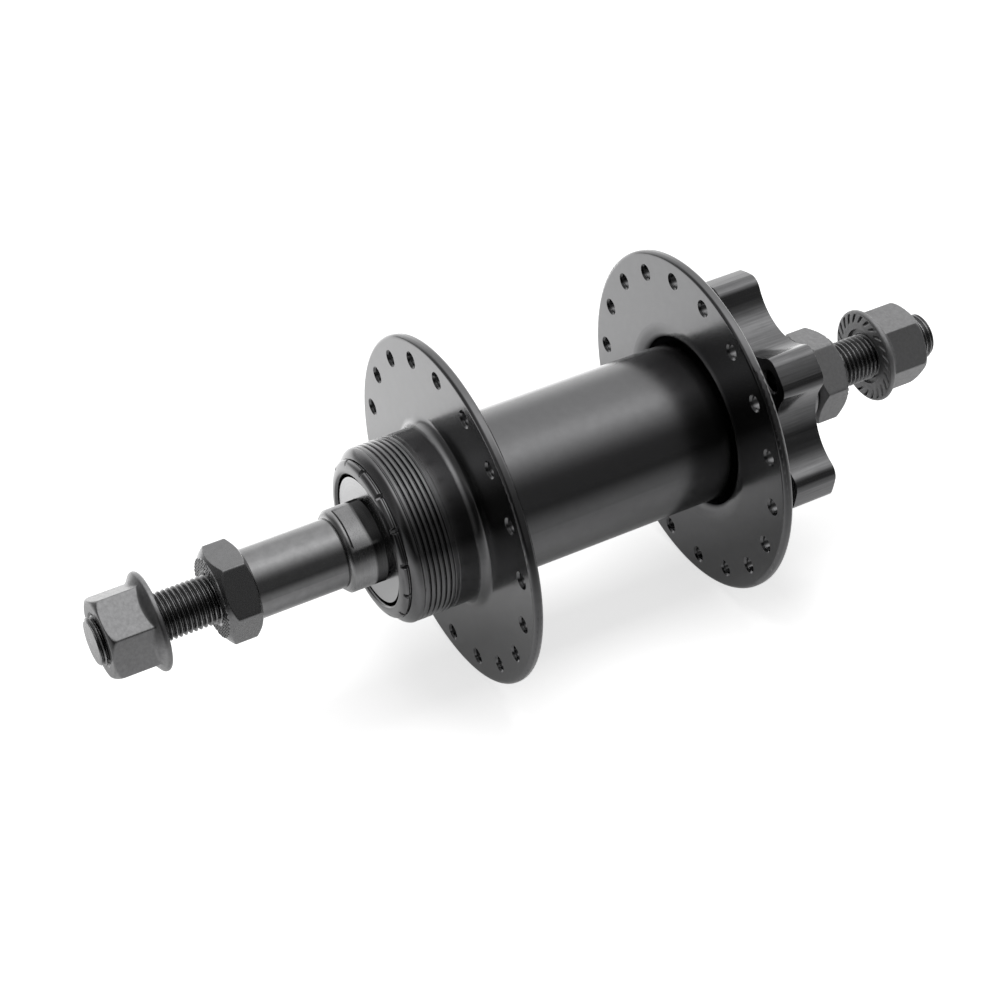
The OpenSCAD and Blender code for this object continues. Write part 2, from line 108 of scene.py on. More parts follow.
# Puts a mesh in the scene with its faces outwards, smooth apart from edges sharper than the angle
def finishPiece(name, mesh, sharpAngle):
    cleaner = bmesh.new()
    cleaner.from_mesh(mesh)
    if cleaner.calc_volume(signed=True) < 0:
        bmesh.ops.reverse_faces(cleaner, faces=cleaner.faces)
    cleaner.to_mesh(mesh)
    cleaner.free()
    mesh.shade_smooth()
    mesh.set_sharp_from_angle(angle=math.radians(sharpAngle))
    piece = bpy.data.objects.new(name, mesh)
    bpy.context.scene.collection.objects.link(piece)
    return piece


# A copy of a CAD node's mesh under a new name
def copyMesh(node, name):
    mesh = nodes[node].data.copy()
    mesh.name = name
    return mesh


# A bmesh of a copied mesh, with vertices that lie on one another merged
def mergedShell(mesh):
    shell = bmesh.new()
    shell.from_mesh(mesh)
    bmesh.ops.remove_doubles(shell, verts=shell.verts, dist=weldReach)
    return shell


# The lesser of a and b, joined by a fillet of about width k: least - blend ^ 2 * k / 4, where blend
# falls from 1 where a = b to 0 where they are k apart
def softMin(a, b, k):
    blend = np.maximum(k - np.abs(a - b), 0) / k
    return np.minimum(a, b) - blend * blend * k / 4


# The greater of a and b, joined by a fillet of about width k: minus the softMin of minus a and minus b
def softMax(a, b, k):
    return -softMin(-a, -b, k)


# Radius of a hexagon with the given size across flats and a corner at turn 0: a power mean of the
# three pairs of flats, where a greater power gives sharper corners
def hexagonRadius(turn, acrossFlats, power):
    pairs = [np.abs(np.cos(turn - math.radians(60 * k + 30))) ** power for k in range(3)]
    return acrossFlats / 2 / sum(pairs) ** (1 / power)


# Distance from the axle to a hexagon's sharp corner: half across flats / cos 30
def cornerReach(acrossFlats):
    return acrossFlats / 2 / math.cos(math.pi / 6)


# Depth of a V thread from 0 at the crest to 1 at the root, with a flat crest and a narrow root;
# phase counts turns of the thread
def threadShape(phase, crestShare, rootShare):
    down = 1 - np.abs(2 * (phase % 1) - 1)
    return np.clip((down - crestShare) / (1 - crestShare - rootShare), 0, 1)


# Goes smoothly from 0 to 1 between two values: s * s * (3 - 2 s), s = share of the way
def ramp(value, start, end):
    share = np.clip((value - start) / (end - start), 0, 1)
    return share * share * (3 - 2 * share)


# Collects a closed section carried round the axle: addRows takes the height and radius of some rows,
# each as one value, a column or a grid, and joined gives all rows as two grids
def startSection(turn):
    ones = np.ones_like(turn)
    heights, radii = [], []

    # Spreads both over all turns and keeps them
    def addRows(height, radius):
        height, radius = np.broadcast_arrays(height * ones, radius * ones)
        heights.append(height)
        radii.append(radius)

    # All rows in the order in which they came
    def joined():
        return np.concatenate(heights), np.concatenate(radii)

    return addRows, joined


# Materials

noiseSpan = (0.3, 0.7)               # most of a noise's values lie between these
edgeFacing = (0.99, 0.86)            # cosine of flat to rounded normal where the lighter edge, partly wear and partly painted highlight, starts and is full
wearAndHighlightPatches = (0.3, 0.6, 0.4, 1.0)   # the lighter edge goes from 0.4 to 1 while the mottle goes from 0.3 to 0.6
zoneSoft = 0.4 * mm                  # soft edge of a zone of painted shade, at its far end and its outer radius
bumpReach = 0.1                      # millimetres of height that a bump of strength 1 has


# Starts a material and gives it with its node tree and its shader
def newMaterial(name):
    material = bpy.data.materials.new(name)
    material.use_nodes = True
    tree = material.node_tree
    return material, tree, tree.nodes["Principled BSDF"]


# Adds a node and sets its properties and its input sockets, which are named, or i and their number;
# an input that is another node's output is linked
def addNode(tree, kind, properties=None, **inputs):
    node = tree.nodes.new(kind)
    for key, value in (properties or {}).items():
        setattr(node, key, value)
    for key, value in inputs.items():
        socket = node.inputs[int(key[1:])] if key[0] == "i" and key[1:].isdigit() else node.inputs[key]
        if isinstance(value, bpy.types.NodeSocket):
            tree.links.new(value, socket)
        else:
            socket.default_value = value
    return node


# The result of one maths operation on numbers or outputs
def maths(tree, operation, *values):
    inputs = {f"i{k}": value for k, value in enumerate(values)}
    return addNode(tree, "ShaderNodeMath", {"operation": operation}, **inputs).outputs[0]


# The same for an operation on vectors
def vectorMaths(tree, operation, *vectors):
    inputs = {f"i{k}": vector for k, vector in enumerate(vectors)}
    return addNode(tree, "ShaderNodeVectorMath", {"operation": operation}, **inputs)


# Carries a value from one range to another in a straight line, and holds it at the ends
def mapRange(tree, value, fromLow, fromHigh, toLow, toHigh):
    inputs = {"i0": value, "i1": fromLow, "i2": fromHigh, "i3": toLow, "i4": toHigh}
    return addNode(tree, "ShaderNodeMapRange", **inputs).outputs[0]


# Noise on object coordinates; scale counts features for each metre
def noise(tree, vector, scale, detail, roughness=0.55):
    node = addNode(tree, "ShaderNodeTexNoise", Vector=vector, Scale=scale, Detail=detail,
                   Roughness=roughness)
    return node.outputs["Fac"]


# A factor near 1 that follows a noise, from 1 - depth to 1 + depth
def aroundOne(tree, value, depth):
    return mapRange(tree, value, *noiseSpan, 1 - depth, 1 + depth)


# Distance from the axle's line: root of (x * x + z * z)
def reachOf(tree, axes):
    squares = [maths(tree, "MULTIPLY", axes.outputs[k], axes.outputs[k]) for k in (0, 2)]
    return maths(tree, "SQRT", maths(tree, "ADD", *squares))


# Lighter edges, partly wear and partly painted highlight: how far the rounded normal turns away from the
# flat one, times patches of the mottle
def edgeWearAndHighlight(tree, rounded, blotch):
    flat = addNode(tree, "ShaderNodeNewGeometry").outputs["Normal"]
    facing = vectorMaths(tree, "DOT_PRODUCT", rounded, flat).outputs["Value"]
    edge = mapRange(tree, facing, *edgeFacing, 0.0, 1.0)
    return maths(tree, "MULTIPLY", edge, mapRange(tree, blotch, *wearAndHighlightPatches))


# Marks of a mill that cut along the axle: 1 + noise stretched along the axle, only where y > from
def millStreaks(tree, place, along, mill):
    stretched = vectorMaths(tree, "MULTIPLY", place, (1, mill["stretch"], 1)).outputs[0]
    streak = noise(tree, stretched, mill["scale"], 3.0, 0.7)
    streak = mapRange(tree, streak, *noiseSpan, -mill["depth"], mill["depth"])
    begun = maths(tree, "GREATER_THAN", along, mill["from"] * mm)
    return maths(tree, "ADD", maths(tree, "MULTIPLY", streak, begun), 1.0)


# Painted shade: 1 outside a zone of painted shade and 1 - share inside it; inside = lesser of the rise at
# the zone's start and the fall at its end, times the fall at its outer radius
def paintedShadeFactor(tree, along, reach, zone):
    start, end, out = zone["start"] * mm, zone["end"] * mm, zone["out"] * mm
    rise = mapRange(tree, along, (zone["start"] - zone["edge"]) * mm, start, 0.0, 1.0)
    fall = mapRange(tree, along, end, end + zoneSoft, 1.0, 0.0)
    within = mapRange(tree, reach, out, out + zoneSoft, 1.0, 0.0)
    inside = maths(tree, "MULTIPLY", maths(tree, "MINIMUM", rise, fall), within)
    return mapRange(tree, inside, 0.0, 1.0, 1.0, 1 - zone["share"])


# A metal finish: tone * mottle * grain + lighter edges, partly wear and partly painted highlight, with
# turned marks round the axle in roughness and relief. The edges are rounded by a bevel of edgeRadius
# millimetres. bump is the relief in millimetres.
# paintedShade is a zone of painted shade, darker in colour and in reflection, mill says where and how
# strong the marks of a mill are.
def metalFinish(name, tone, roughness, mottle, mottleScale=500, marks=0.15, marksScale=5000, bump=0.02,
                edgeWearAndHighlightTone=0.0, edgeRadius=0.12, grain=0.0, grainScale=9000, paintedShade=None, mill=None):
    material, tree, shader = newMaterial(name)
    shader.inputs["Metallic"].default_value = 1.0
    place = addNode(tree, "ShaderNodeTexCoord").outputs["Object"]
    axes = addNode(tree, "ShaderNodeSeparateXYZ", Vector=place)
    along, reach = axes.outputs[1], reachOf(tree, axes)
    ringPlace = addNode(tree, "ShaderNodeCombineXYZ", X=reach, Y=along).outputs[0]
    rings = noise(tree, ringPlace, marksScale, 2.0)
    blotch = noise(tree, place, mottleScale, 4.0, 0.6)
    fine = noise(tree, place, grainScale, 2.0)
    rounded = addNode(tree, "ShaderNodeBevel", {"samples": 4}, Radius=edgeRadius * mm).outputs[0]
    level = maths(tree, "MULTIPLY", aroundOne(tree, blotch, mottle), aroundOne(tree, fine, grain))
    # edges painted lighter: partly wear, partly painted highlight
    level = maths(tree, "ADD", level, maths(tree, "MULTIPLY", edgeWearAndHighlight(tree, rounded, blotch), edgeWearAndHighlightTone))
    if mill:
        level = maths(tree, "MULTIPLY", level, millStreaks(tree, place, along, mill))
    # painted shade: the zone darkens the colour and, through the specular tint, the reflection too
    if paintedShade:
        deeper = paintedShadeFactor(tree, along, reach, paintedShade)
        level = maths(tree, "MULTIPLY", level, deeper)
        tree.links.new(deeper, shader.inputs["Specular Tint"])
    colour = addNode(tree, "ShaderNodeVectorMath", {"operation": "SCALE"}, i0=tone, Scale=level).outputs[0]
    tree.links.new(colour, shader.inputs["Base Color"])
    rough = mapRange(tree, rings, *noiseSpan, roughness * (1 - marks), roughness * (1 + marks))
    rough = maths(tree, "MULTIPLY", rough, aroundOne(tree, blotch, -mottle))
    tree.links.new(rough, shader.inputs["Roughness"])
    height = maths(tree, "ADD", maths(tree, "MULTIPLY", rings, marks), maths(tree, "MULTIPLY", fine, grain))
    relief = addNode(tree, "ShaderNodeBump", Strength=bump / bumpReach, Distance=bumpReach * mm,
                     Height=height, Normal=rounded)
    tree.links.new(relief.outputs[0], shader.inputs["Normal"])
    return material


# Zones of painted shade, where little light reaches, in millimetres: from and to along the axle, out to a
# radius, and the soft edge before the start; share is the part of the tone that goes
# painted shade in the groove where the barrel meets the drive flange
driveGrooveShade = {"start": -19.0, "end": -18.2, "out": 19.7, "edge": 0.4, "share": 0.75}
# painted shade in the recess where the barrel meets the disc flange
discGrooveShade = {"start": 34.9, "end": 35.8, "out": 19.7, "edge": 0.4, "share": 0.75}
# painted shade on the tube, deepening over its last millimetres towards the disc flange
tubeEndShade = {"start": 31.0, "end": 36.0, "out": 17.3, "edge": 5.0, "share": 0.16}
# painted shade in the roots of the axle's thread; it also darkens end faces inside that radius
threadRootShade = {"start": -90.3, "end": 84.0, "out": 4.3, "edge": 0.4, "share": 0.45}
# painted shade on the drive cone's neck, between its spanner flats and the shield
behindFlatsShade = {"start": -37.4, "end": -30.0, "out": 9.5, "edge": 0.5, "share": 0.72}

# Marks of the mill on the disc mount, from this place along the axle in millimetres
mountMill = {"from": 43.2, "stretch": 0.03, "scale": 2600, "depth": 0.22}

shellTone = (0.108, 0.108, 0.11)
shellLook = {"mottle": 0.04, "marks": 0.08, "bump": 0.003, "edgeWearAndHighlightTone": 0.6}
oxideLook = {"mottleScale": 1400, "marks": 0.1, "grainScale": 6000}
groundLook = {"mottle": 0.08, "mottleScale": 600, "marks": 0.3, "marksScale": 9000, "bump": 0.01,
              "edgeWearAndHighlightTone": 1.0, "grain": 0.06}
finishes = {
    "driveShell": metalFinish("blackDriveShell", shellTone, 0.19, paintedShade=driveGrooveShade, **shellLook),
    "discShell": metalFinish("blackDiscShell", shellTone, 0.19, paintedShade=discGrooveShade, mill=mountMill,
                             **shellLook),
    "tube": metalFinish("blackTube", shellTone, 0.215, paintedShade=tubeEndShade, **shellLook),
    "cap": metalFinish("blackCap", (0.12, 0.12, 0.122), 0.2, mottle=0.06, marks=0.1, bump=0.006,
                       edgeWearAndHighlightTone=0.5),
    "oxide": metalFinish("blackOxide", (0.138, 0.138, 0.14), 0.27, mottle=0.08, bump=0.005, edgeWearAndHighlightTone=1.6,
                         edgeRadius=0.18, grain=0.03, **oxideLook),
    "nut": metalFinish("blackOxideNut", (0.17, 0.17, 0.172), 0.35, mottle=0.1, bump=0.01, edgeWearAndHighlightTone=0.6,
                       edgeRadius=0.15, grain=0.05, **oxideLook),
    "dull": metalFinish("dullOxide", (0.188, 0.188, 0.19), 0.53, mottle=0.08, bump=0.01, edgeWearAndHighlightTone=0.4,
                        edgeRadius=0.12, grain=0.05, **oxideLook),
    "axle": metalFinish("threadedSteel", (0.2, 0.2, 0.202), 0.26, mottle=0.12, mottleScale=900,
                        edgeWearAndHighlightTone=1.6, edgeRadius=0.08, paintedShade=threadRootShade),
    "ground": metalFinish("groundSteel", (0.17, 0.17, 0.172), 0.2, **groundLook),
    "cone": metalFinish("groundCone", (0.19, 0.19, 0.192), 0.26, paintedShade=behindFlatsShade, **groundLook),
    "polished": metalFinish("polishedShield", (0.36, 0.36, 0.363), 0.2, mottle=0.02, marks=0.3, bump=0.004),
    "race": metalFinish("bearingSteel", (0.42, 0.42, 0.425), 0.22, mottle=0.1, marks=0.2, bump=0.01),
    "ball": metalFinish("ballSteel", (0.72, 0.73, 0.75), 0.06, mottle=0.01, marks=0.05, bump=0.001),
}
finishOfNode = {
    "drive_cone": "cone", "disc_cone": "ground", "drive_shield": "polished", "disc_shield": "polished",
    "drive_spacer": "ground", "barrel": "tube", "disc_flange": "discShell", "drive_flange": "driveShell",
    "drive_cup": "race", "disc_cup": "race", "drive_dust_cap": "cap", "disc_dust_cap": "cap",
    "drive_balls": "ball", "disc_balls": "ball", "drive_ball_cage": "race", "disc_ball_cage": "race",
    "axle": "axle", "drive_locknut": "oxide", "disc_locknut": "dull",
    "drive_axle_nut": "nut", "disc_axle_nut": "dull",
}


# Gives a CAD node its finish in the slots that it already has
def finishNode(name):
    node = nodes[name]
    if not node.material_slots:
        node.data.materials.append(None)
    for slot in node.material_slots:
        slot.material = finishes[finishOfNode[name]]


for name in finishOfNode:
    finishNode(name)
print("finishes:", len(finishes))


# Sets a new piece's finish and body and lets it stand for its CAD node
def standFor(piece, node):
    piece.data.materials.append(finishes[finishOfNode[node]])
    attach(piece, nodes[node]["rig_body"])
    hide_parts(node)


# Axle, with its thread

axle = {
    "pitch": 25.4 / 26 * mm,      # 26 turns to the inch
    "threadDepth": 0.62 * mm,
    "crestShare": 0.12,           # parts of the V's depth cut off at crest and root
    "rootShare": 0.12,
    "threadFrom": 61 * mm,        # nearer the middle the thread is hidden
    "plainFrom": 22.5 * mm,       # the plain middle ends here
    "coreRadius": 4.3 * mm,
    "endBevel": 0.5 * mm,
    "tolerance": 0.01 * mm,
    "stepsRound": 84,
    "stepsPerTurn": 11,
    "sharpAngle": 40,
}


# The axle is one turned profile whose radius dips along a right-hand helix at both ends:
# radius = least of (crest - depth * V(y / pitch + t / full turn)) and the bevel at the axle's end
def makeAxle():
    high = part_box("axle")[1]
    half, crest = high.y, high.x
    rowsPerEnd = round((half - axle["threadFrom"]) / axle["pitch"] * axle["stepsPerTurn"])
    end = np.linspace(axle["threadFrom"], half, rowsPerEnd)
    shoulder = np.array([axle["plainFrom"], axle["plainFrom"] + crest - axle["coreRadius"]])
    along = np.concatenate([-end[::-1], -shoulder[::-1], shoulder, end])[:, None]
    turn = fullTurn(axle["stepsRound"])
    inThread = ramp(np.abs(along), axle["threadFrom"], axle["threadFrom"] + axle["pitch"])
    phase = along / axle["pitch"] + turn / (2 * np.pi)
    groove = threadShape(phase, axle["crestShare"], axle["rootShare"])
    radius = crest - axle["threadDepth"] * groove * inThread
    radius = np.where(np.abs(along) < axle["plainFrom"] + axle["tolerance"], axle["coreRadius"], radius)
    bevel = crest - axle["endBevel"] + (half - np.abs(along))
    return aroundAxle(np.minimum(radius, bevel), along, turn)


piece = finishPiece("threadedAxle", meshFromGrid("threadedAxle", makeAxle()), axle["sharpAngle"])
standFor(piece, "axle")
print("axle:", len(piece.data.polygons), "faces")


# Axle nuts

axleNut = {
    "acrossFlats": 14.8 * mm,
    "cornerPower": 90,
    "cornerTurn": {"drive_axle_nut": 27.8, "disc_axle_nut": -4.3},    # degrees from +X to a corner
    "flangeRadius": 9.6 * mm,
    "rimRound": 0.6 * mm,         # radius of the rim's rounded edges
    "rimHeight": 1.3 * mm,
    "rimLean": 54,                # degrees round the rim where the cone to the hexagon starts
    "skirtFillet": 0.5 * mm,
    "crownRadius": 6.8 * mm,      # radius of the flat end
    "crownHeight": 1.3 * mm,
    "crownFillet": 0.25 * mm,     # between crown and flats
    "crownReach": 1.15,           # the crown's rows go down this many crown heights
    "crownCrowding": 1.7,         # a power that puts them closer together near the flat end
    "boreRadius": 4.75 * mm,
    "boreBevel": 0.55 * mm,
    "recessRadius": 5.8 * mm,
    "recessDepth": 0.6 * mm,
    "teeth": 24,
    "toothDepth": 0.4 * mm,
    "toothShare": 0.36,           # part of the pitch that a slot between two teeth takes
    "toothPhase": 0.42,
    "toothSlant": 16,             # degrees that a slot turns between its inner and outer end
    "toothInside": 7 * mm,
    "toothFade": 0.3,             # part of a slot's length over which it gets deeper
    "faceEnd": 0.1 * mm,          # between the face's last row and the recess
    "flatFrom": 1.3,              # the flats' rows start this many crown heights below the end
    "flatTo": 0.8 * mm,           # and end this far above the place where the skirt meets them
    "skirtStart": 0.6 * mm,       # the skirt's rows start this far above that place
    "rimStart": 0.85,             # the rim's rows start at this share of its lean
    "endPlaces": (0.5, 0.98),     # places of the flat end's rows between bore and crown
    # how many rows each stretch of the section has
    "boreRows": 4,
    "crownRows": 14,
    "flatRows": 5,
    "skirtRows": 18,
    "rimRows": 5,
    "edgeRows": 6,
    "faceRows": 26,
    "stepsRound": 720,
    "sharpAngle": 38,
}


# Depth of the slots in a nut's face: share = turn * teeth / full turn, shifted with the radius so that
# the slots slant; depth = slope over a third of the slot, clipped, and none at the slot's inner end
def serration(radius, turn):
    outward = (radius - axleNut["toothInside"]) / (axleNut["flangeRadius"] - axleNut["toothInside"])
    slanted = turn + math.radians(axleNut["toothSlant"]) * outward
    share = (slanted * axleNut["teeth"] / (2 * np.pi) + axleNut["toothPhase"]) % 1
    slot = np.clip((axleNut["toothShare"] / 2 - np.abs(share - 0.5)) / (axleNut["toothShare"] / 3), 0, 1)
    return axleNut["toothDepth"] * slot * ramp(outward, 0.0, axleNut["toothFade"])


# A nut's closed section, carried round the axle: bore, bevel, flat end, crown, hexagon, skirt, rim,
# serrated face and recess. height is measured from the serrated face, away from the hub.
def makeAxleNut(node, side):
    nut = axleNut
    low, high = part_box(node)
    face = low.y if side > 0 else -high.y
    tall = high.y - low.y
    turn = fullTurn(nut["stepsRound"])
    fromCorner = turn - math.radians(nut["cornerTurn"][node])
    hexagon = hexagonRadius(fromCorner, nut["acrossFlats"], nut["cornerPower"])
    corner = cornerReach(nut["acrossFlats"])
    crownWide = corner - nut["crownRadius"]
    crownArc = (crownWide ** 2 + nut["crownHeight"] ** 2) / 2 / nut["crownHeight"]
    lean, rimCentre = math.radians(nut["rimLean"]), nut["flangeRadius"] - nut["rimRound"]
    skirtFrom = nut["rimHeight"] - nut["rimRound"] * (1 - math.sin(lean))
    skirtRadius = rimCentre + nut["rimRound"] * math.cos(lean)

    # Radius between rim and flat end: softMax(skirt, softMin(crown's arc, hexagon))
    def bodyRadius(height):
        drop = np.clip(tall - height, 0, nut["crownHeight"])
        crown = nut["crownRadius"] + np.sqrt(np.maximum(crownArc ** 2 - (crownArc - drop) ** 2, 0))
        crown = np.where(tall - height > nut["crownHeight"], 2 * corner, crown)
        skirt = skirtRadius - (height - skirtFrom) * math.tan(lean)
        return softMax(skirt, softMin(crown, hexagon, nut["crownFillet"]), nut["skirtFillet"])

    # Rows on a rounded edge of the rim, from and to an angle: the edge's middle at the given height,
    # height = middle + up * round * sin a, radius = centre + round * cos a
    def addArc(middle, up, angles):
        arc = np.radians(angles)[:, None]
        addRows(middle + up * nut["rimRound"] * np.sin(arc), rimCentre + nut["rimRound"] * np.cos(arc))

    addRows, joined = startSection(turn)
    boreTop = tall - nut["boreBevel"]
    addRows(np.linspace(nut["recessDepth"], boreTop, nut["boreRows"])[:, None], nut["boreRadius"])
    topInside = nut["boreRadius"] + nut["boreBevel"]
    addRows(tall, topInside)
    endRadius = bodyRadius(np.full_like(turn, tall))
    addRows(tall, topInside + (endRadius - topInside) * np.array(nut["endPlaces"])[:, None])
    crownShare = np.linspace(0, 1, nut["crownRows"]) ** nut["crownCrowding"]
    crownRows = tall - nut["crownHeight"] * nut["crownReach"] * crownShare
    skirtTop = skirtFrom + (skirtRadius - nut["acrossFlats"] / 2) / math.tan(lean)
    flatStart = tall - nut["crownHeight"] * nut["flatFrom"]
    flatRows = np.linspace(flatStart, skirtTop + nut["flatTo"], nut["flatRows"])
    skirtRows = np.linspace(skirtTop + nut["skirtStart"], skirtFrom, nut["skirtRows"])
    rows = np.concatenate([crownRows, flatRows, skirtRows])[:, None]
    addRows(rows, bodyRadius(rows))
    rimAngles = np.linspace(nut["rimLean"] * nut["rimStart"], 0, nut["rimRows"])
    addArc(nut["rimHeight"] - nut["rimRound"], 1, rimAngles)
    addArc(nut["rimRound"], -1, np.linspace(0, 90, nut["edgeRows"]))
    faceRadius = np.linspace(rimCentre, nut["recessRadius"] + nut["faceEnd"], nut["faceRows"])[:, None]
    addRows(serration(faceRadius, side * turn), faceRadius)
    addRows(np.array([[0.0], [nut["recessDepth"]]]), nut["recessRadius"])
    height, radius = joined()
    return aroundAxle(radius, side * (face + height), turn)


for node, side in (("drive_axle_nut", -1), ("disc_axle_nut", 1)):
    name = "serratedNut" + node.split("_")[0].capitalize()
    mesh = meshFromGrid(name, makeAxleNut(node, side), looped=True)
    piece = finishPiece(name, mesh, axleNut["sharpAngle"])
    standFor(piece, node)
    print(name + ":", len(piece.data.polygons), "faces")


# Locknuts

locknut = {
    "acrossFlats": 16.7 * mm,
    "cornerPower": 75,
    "cornerTurn": {"drive_locknut": 1.2, "disc_locknut": 5.7},    # degrees from +X to a corner
    "cornerFillet": 0.12 * mm,    # between bevel and flats
    "faceRadius": 7.75 * mm,
    "bossHeight": 0.2 * mm,
    "bevelOut": 1.6 * mm,         # boss and bevel together, at the corners
    "bevelIn": 1.1 * mm,
    "boreRadius": 4.75 * mm,
    "boreBevel": 0.5 * mm,
    "knurlPitch": 1.05 * mm,
    "knurlDepth": 0.3 * mm,
    "knurlTurn": 61,              # degrees from +X, across the deeper set of grooves
    "knurlCross": 0.2,            # depth of the other set, as a share
    "knurlCrest": 0.5,            # parts of the V's depth cut off at crest and root
    "knurlRoot": 0.03,
    "knurlFade": 0.4 * mm,        # the grooves get deeper over this width beside the bore
    "edgeGap": 0.02 * mm,         # between a sharp edge and the next row
    "cornerGap": 0.1 * mm,        # between a bevel's end at the corners and the next row
    "middleGap": 0.4 * mm,        # between it and the rows on the flats
    # how many rows each stretch of the section has
    "boreRows": 4,
    "faceRows": 28,
    "outerRows": 14,
    "flatRows": 4,
    "innerRows": 12,
    "stepsRound": 480,
    "sharpAngle": 30,
}


# Depth of a crossed knurl: two sets of V grooves over the flat face, the deeper one counts
def knurl(radius, turn):
    nut = locknut
    depth = 0
    for turnDegrees, share in ((nut["knurlTurn"], 1), (nut["knurlTurn"] + 90, nut["knurlCross"])):
        across = radius * np.cos(turn - math.radians(turnDegrees))
        groove = threadShape(across / nut["knurlPitch"], nut["knurlCrest"], nut["knurlRoot"])
        depth = np.maximum(depth, share * groove)
    return nut["knurlDepth"] * depth


# A locknut's closed section: bore, knurled outer face, boss, bevelled hexagon and inner face.
# height is measured from the inner face, away from the hub.
def makeLocknut(node, side):
    nut = locknut
    low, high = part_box(node)
    inner = low.y if side > 0 else -high.y
    tall = high.y - low.y
    turn = fullTurn(nut["stepsRound"])
    fromCorner = turn - math.radians(nut["cornerTurn"][node])
    hexagon = hexagonRadius(fromCorner, nut["acrossFlats"], nut["cornerPower"])
    bevelWide = cornerReach(nut["acrossFlats"]) - nut["faceRadius"]
    bodyTop = tall - nut["bossHeight"]
    outerEnd = tall - nut["bevelOut"]

    # Radius between the two faces: softMin(hexagon, lesser of the two bevels' cones at that height)
    def bodyRadius(height):
        outer = nut["faceRadius"] + (bodyTop - height) * bevelWide / (nut["bevelOut"] - nut["bossHeight"])
        innerCone = nut["faceRadius"] + height * bevelWide / nut["bevelIn"]
        return softMin(hexagon, np.minimum(outer, innerCone), nut["cornerFillet"])

    addRows, joined = startSection(turn)
    addRows(np.linspace(0, tall - nut["boreBevel"], nut["boreRows"])[:, None], nut["boreRadius"])
    faceInside = nut["boreRadius"] + nut["boreBevel"]
    faceRadius = np.linspace(faceInside, nut["faceRadius"], nut["faceRows"])[:, None]
    marked = ramp(faceRadius, faceInside, faceInside + nut["knurlFade"])
    addRows(tall - knurl(faceRadius, turn) * marked, faceRadius)
    addRows(bodyTop, nut["faceRadius"])
    outerRows = np.linspace(bodyTop - nut["edgeGap"], outerEnd - nut["cornerGap"], nut["outerRows"])
    flatRows = np.linspace(outerEnd - nut["middleGap"], nut["bevelIn"] + nut["middleGap"], nut["flatRows"])
    innerRows = np.linspace(nut["bevelIn"] + nut["cornerGap"], nut["edgeGap"], nut["innerRows"])
    rows = np.concatenate([outerRows, flatRows, innerRows])[:, None]
    addRows(rows, bodyRadius(rows))
    addRows(0.0, nut["faceRadius"])
    height, radius = joined()
    return aroundAxle(radius, side * (inner + height), turn)


for node, side in (("drive_locknut", -1), ("disc_locknut", 1)):
    name = "knurledLocknut" + node.split("_")[0].capitalize()
    mesh = meshFromGrid(name, makeLocknut(node, side), looped=True)
    piece = finishPiece(name, mesh, locknut["sharpAngle"])
    standFor(piece, node)
    print(name + ":", len(piece.data.polygons), "faces")


# Freewheel thread on the drive flange

bossThread = {
    "pitch": 25.4 / 24 * mm,      # 24 turns to the inch
    "depth": 0.45 * mm,
    "radius": 17.4 * mm,
    "bevel": 0.8 * mm,            # the CAD's bevel, which a longer rounding replaces
    "roundLength": 1.7 * mm,
    "roundRows": 12,
    "roundStart": 0.05,           # root of the share of the rounding's length where its first row is
    "roundPower": 0.85,
    "seatGap": 0.03 * mm,         # between the dust cap's seat and the start of the rounding
    "length": 8.6 * mm,           # from the boss's end to the groove behind the thread
    "phase": 0.1,                 # part of a turn where the thread starts
    "crestShare": 0.54,           # parts of the V's depth cut off at crest and root
    "rootShare": 0.05,
    "deeperFrom": 1.0 * mm,       # from the boss's end; the thread gets deeper between these two
    "deeperTo": 3.2 * mm,
    "runOut": 0.9 * mm,           # the thread fades out over this length at its other end
    "stepsPerTurn": 16,
    "stepsRound": 240,
    "rimGap": 0.04 * mm,          # between the CAD's rim and the band's last row
    "tolerance": 0.02 * mm,
    "sharpAngle": 40,
}


# Joins two rings of vertices round the axle with triangles, moving on each time along the ring whose
# next vertex comes first: turn = atan2(z, x), and a full turn more once a ring is back at its start
def stitchRings(shell, lower, upper):
    # Turn of a vertex round the axle: atan2(z, x)
    def turnOf(vertex):
        return math.atan2(vertex.co.z, vertex.co.x)

    # Turn of a ring's vertex, with a full turn more for each time round
    def turnAt(ring, k):
        return turnOf(ring[k % len(ring)]) + 2 * math.pi * (k // len(ring))

    rings = [sorted(ring, key=turnOf) for ring in (lower, upper)]
    count = [len(ring) for ring in rings]
    i = j = 0
    while i < count[0] or j < count[1]:
        a, b = rings[0][i % count[0]], rings[1][j % count[1]]
        lowerFirst = turnAt(rings[0], i + 1) <= turnAt(rings[1], j + 1)
        if j >= count[1] or (i < count[0] and lowerFirst):
            i += 1
            corner = rings[0][i % count[0]]
        else:
            j += 1
            corner = rings[1][j % count[1]]
        shell.faces.new((a, corner, b)).smooth = True


